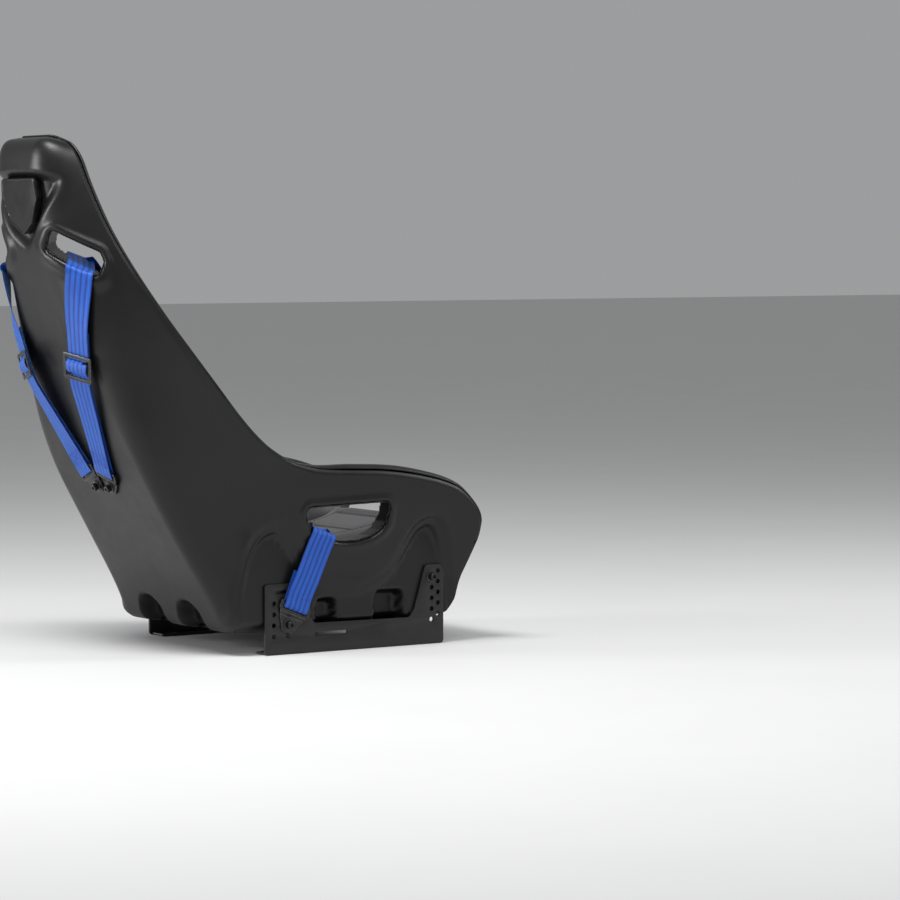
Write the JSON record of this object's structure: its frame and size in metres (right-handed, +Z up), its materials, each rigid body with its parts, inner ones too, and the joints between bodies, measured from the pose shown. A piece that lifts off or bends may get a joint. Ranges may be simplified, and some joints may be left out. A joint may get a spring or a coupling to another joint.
{
  "type": "racing seat",
  "caption": "Bucket racing seat: two-skin moulded shell, side brackets, loose pads and a four-strap harness with a turn-to-release buckle.",
  "frame": {"origin": "centre of the bounding box at the underside of the bracket flanges", "axes": "the seat faces -Y, the driver's left is +X, +Z is up"},
  "size_m": [0.4914, 0.7996, 0.8943],
  "materials": {
    "shell": "fine grained satin black",
    "liner": "fine grained satin black",
    "trim_plastic": "smooth satin black",
    "black_steel": "satin black powder coat",
    "black_fasteners": "black oxide",
    "brass_inserts": "turned",
    "blue_webbing": "ribbed woven polyester",
    "bright_steel": "plated",
    "knob": "red moulded",
    "hook_tape": "hook tape",
    "pad_fabric": "black knitted fabric over foam"
  },
  "bodies": {
    "seat": {"outer_shell": "shell", "inner_shell": "liner", "shoulder_bezel_right": "trim_plastic", "shoulder_bezel_left": "trim_plastic", "lap_bezel_right": "trim_plastic", "lap_bezel_left": "trim_plastic", "rear_badge": "trim_plastic", "threaded_inserts": "brass_inserts", "side_bracket_right": "black_steel", "side_bracket_left": "black_steel", "seat_bolts": "black_fasteners", "seat_washers": "black_fasteners", "shoulder_anchor_right": "black_steel", "shoulder_anchor_left": "black_steel", "anchor_bolts": "black_fasteners", "anchor_washers": "black_fasteners", "lap_anchor_right": "black_steel", "lap_anchor_left": "black_steel", "shoulder_strap_right": "blue_webbing", "shoulder_strap_left": "blue_webbing", "lap_strap_right": "blue_webbing", "lap_strap_left": "blue_webbing", "buckle_base": "trim_plastic", "buckle_cover": "trim_plastic", "buckle_post": "bright_steel", "buckle_spring": "bright_steel", "buckle_screws": "black_fasteners", "latch_pins": "bright_steel", "buckle_pad": "pad_fabric", "head_pad": "pad_fabric", "back_pad": "pad_fabric", "lumbar_pad": "pad_fabric", "seat_pad": "pad_fabric", "bolster_pad_right": "pad_fabric", "bolster_pad_left": "pad_fabric", "hook_strips": "hook_tape"},
    "rear_slide_right_body": {"rear_slide_right": "black_steel", "slide_fold_right": "blue_webbing"},
    "rear_slide_left_body": {"rear_slide_left": "black_steel", "slide_fold_left": "blue_webbing"},
    "shoulder_tongue_right_body": {"shoulder_tongue_right": "bright_steel", "shoulder_cam_right": "black_steel"},
    "shoulder_tongue_left_body": {"shoulder_tongue_left": "bright_steel", "shoulder_cam_left": "black_steel"},
    "lap_tongue_right_body": {"lap_tongue_right": "bright_steel", "lap_cam_right": "black_steel"},
    "lap_tongue_left_body": {"lap_tongue_left": "bright_steel", "lap_cam_left": "black_steel"},
    "release_knob": {"buckle_knob": "knob"}
  },
  "joints": [
    {"name": "rear_slide_left_travel", "type": "slide", "parent": "seat", "child": "rear_slide_left_body", "axis": [0.2419, 0.1719, 0.9549], "range_m": [-0.02, 0.02]},
    {"name": "shoulder_tongue_left_pull", "type": "slide", "parent": "seat", "child": "shoulder_tongue_left_body", "axis": [0.5291, 0.8486, 0], "range_m": [0, 0.03]},
    {"name": "lap_tongue_left_pull", "type": "slide", "parent": "seat", "child": "lap_tongue_left_body", "axis": [0.9929, 0.1191, 0], "range_m": [0, 0.03]},
    {"name": "rear_slide_right_travel", "type": "slide", "parent": "seat", "child": "rear_slide_right_body", "axis": [-0.2419, 0.1719, 0.9549], "range_m": [-0.02, 0.02]},
    {"name": "shoulder_tongue_right_pull", "type": "slide", "parent": "seat", "child": "shoulder_tongue_right_body", "axis": [-0.5291, 0.8486, 0], "range_m": [0, 0.03]},
    {"name": "lap_tongue_right_pull", "type": "slide", "parent": "seat", "child": "lap_tongue_right_body", "axis": [-0.9929, 0.1191, 0], "range_m": [0, 0.03]},
    {"name": "release_knob_turn", "type": "hinge", "parent": "seat", "child": "release_knob", "pos_m": [0, -0.126, 0.205], "axis": [0, 0, 1], "range_deg": [-35, 35], "stiffness_Nm_per_rad": 0.3}
  ]
}
